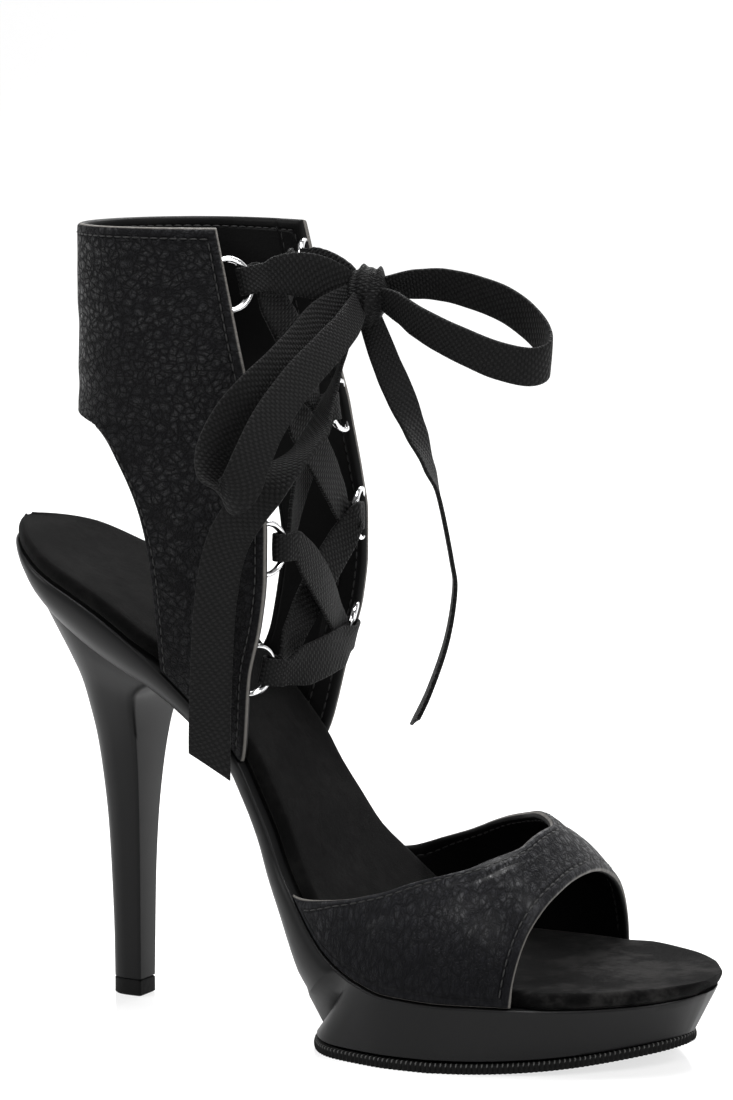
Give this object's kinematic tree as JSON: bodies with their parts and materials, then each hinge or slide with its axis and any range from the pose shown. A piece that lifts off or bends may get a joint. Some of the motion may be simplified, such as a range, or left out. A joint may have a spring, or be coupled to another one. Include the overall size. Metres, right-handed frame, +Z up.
{
  "type": "lace-up high heel",
  "caption": "Platform sandal with a stiletto heel, a peep-toe strap and a tall ankle cuff laced at the front with a flat ribbon through D-rings and tied in a bow.",
  "frame": {"origin": "middle of the footprint of the shoe without its bow, on the ground under the outsole and the heel tip", "axes": "+X runs from the heel to the toe, +Y to the wearer's left (the medial side of this right shoe), +Z up from the ground"},
  "size_m": [0.2016, 0.0869, 0.2075],
  "materials": {
    "satin_plastic": "satin moulded plastic, black",
    "tread_rubber": "matte, black",
    "footbed_suede": "napped suede cloth, black",
    "pebbled_leather": "pebbled grain, soft sheen, black",
    "chrome": "bright",
    "woven_lace": "ribbed flat weave, black"
  },
  "bodies": {
    "root": {"sole_unit": "satin_plastic", "outsole": "tread_rubber", "heel_top_piece": "tread_rubber", "insole": "footbed_suede", "toe_strap": "pebbled_leather", "ankle_cuff": "pebbled_leather", "d_ring_lateral_1": "chrome", "d_ring_lateral_2": "chrome", "d_ring_lateral_3": "chrome", "d_ring_lateral_4": "chrome", "d_ring_medial_1": "chrome", "d_ring_medial_2": "chrome", "d_ring_medial_3": "chrome", "d_ring_medial_4": "chrome", "lace_crossings": "woven_lace", "lace_knot": "woven_lace", "bow_loop_lateral": "woven_lace", "bow_loop_medial": "woven_lace", "lace_end_lateral": "woven_lace", "lace_end_medial": "woven_lace"}
  },
  "joints": []
}
